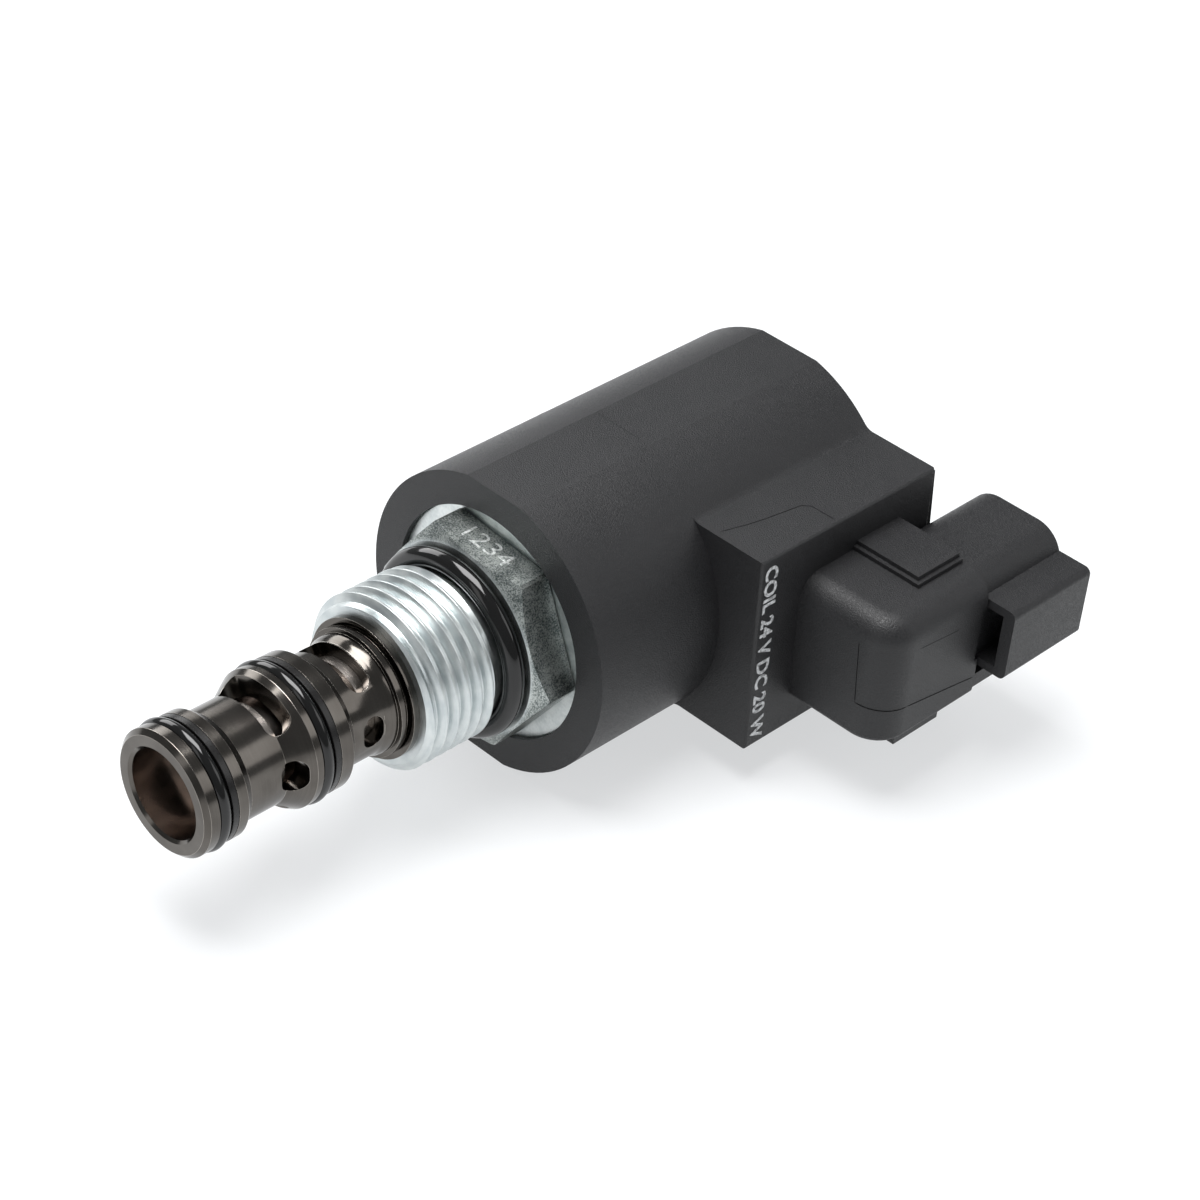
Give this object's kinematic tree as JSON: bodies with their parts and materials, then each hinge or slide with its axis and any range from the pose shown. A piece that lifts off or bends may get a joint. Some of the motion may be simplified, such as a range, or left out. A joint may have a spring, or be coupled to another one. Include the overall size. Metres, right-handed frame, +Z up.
{
  "type": "solenoid cartridge valve",
  "caption": "Screw-in hydraulic cartridge valve with a round solenoid coil, sealing lands, milled ports, spring returned spool and a two pin connector.",
  "frame": {"origin": "on the valve's axis at the seat face of the hexagon, where the valve meets the manifold", "axes": "+X along the valve's axis from the nose to the coil nut, -Y towards the electrical connector, +Z up as it lies on the flat of its coil"},
  "size_m": [0.1093, 0.0636, 0.0382],
  "materials": {
    "dark_steel": "dark ground steel, glossy",
    "zinc_steel": "bright zinc plate, satin",
    "ground_steel": "ground steel",
    "soft_iron": "turned soft iron, plated",
    "stainless": "drawn stainless",
    "spring_steel": "spring wire",
    "brass_shim": "rolled",
    "tinned_brass": "tin plated",
    "enamelled_copper": "enamelled copper wire",
    "black_rubber": "oiled nitrile",
    "backup_plastic": "filled PTFE",
    "bobbin_nylon": "moulded",
    "diode_epoxy": "moulded epoxy",
    "black_nylon": "glass filled nylon, fine spark texture"
  },
  "bodies": {
    "valve_body": {"valve_cage": "dark_steel", "nose_o_ring": "black_rubber", "nose_backup_ring": "backup_plastic", "middle_o_ring": "black_rubber", "middle_backup_ring": "backup_plastic", "threaded_adapter": "zinc_steel", "port_o_ring": "black_rubber", "guide_tube": "stainless", "pole_piece": "soft_iron", "anti_stick_shim": "brass_shim", "return_spring": "spring_steel"},
    "moving_armature": {"armature": "soft_iron", "link_rod": "ground_steel"},
    "moving_spool": {"spool": "ground_steel"},
    "coil": {"coil_housing": "black_nylon", "bobbin": "bobbin_nylon", "copper_winding": "enamelled_copper", "flux_shell": "zinc_steel", "front_flux_plate": "zinc_steel", "rear_flux_plate": "zinc_steel", "coil_front_seal": "black_rubber", "contact_pin_upper": "tinned_brass", "contact_pin_lower": "tinned_brass", "lead_wire_upper": "enamelled_copper", "lead_wire_lower": "enamelled_copper", "suppression_diode": "diode_epoxy"},
    "nut_seal": {"nut_o_ring": "black_rubber"},
    "nut": {"coil_nut": "zinc_steel"}
  },
  "joints": [
    {"name": "armature_slide", "type": "slide", "parent": "valve_body", "child": "moving_armature", "axis": [1, 0, 0], "range_m": [0, 0.0025], "stiffness_N_per_m": 4000, "springref_m": -0.0025, "deforming": ["return_spring"]},
    {"name": "spool_slide", "type": "slide", "parent": "valve_body", "child": "moving_spool", "axis": [1, 0, 0], "range_m": [0, 0.0025]},
    {"name": "coil_swivel", "type": "hinge", "parent": "valve_body", "child": "coil", "pos_m": [0.03, 0, 0], "axis": [1, 0, 0], "continuous": true},
    {"name": "nut_back_off", "type": "slide", "parent": "valve_body", "child": "nut_seal", "axis": [1, 0, 0], "range_m": [0, 0.001]},
    {"name": "nut_turn", "type": "hinge", "parent": "nut_seal", "child": "nut", "pos_m": [0.058, 0, 0], "axis": [1, 0, 0], "range_deg": [0, 360]}
  ],
  "couplings": [
    {"joint": "spool_slide", "follows": "armature_slide", "ratio": 1},
    {"joint": "nut_turn", "follows": "nut_back_off", "rad_per_m": 6283.2}
  ]
}
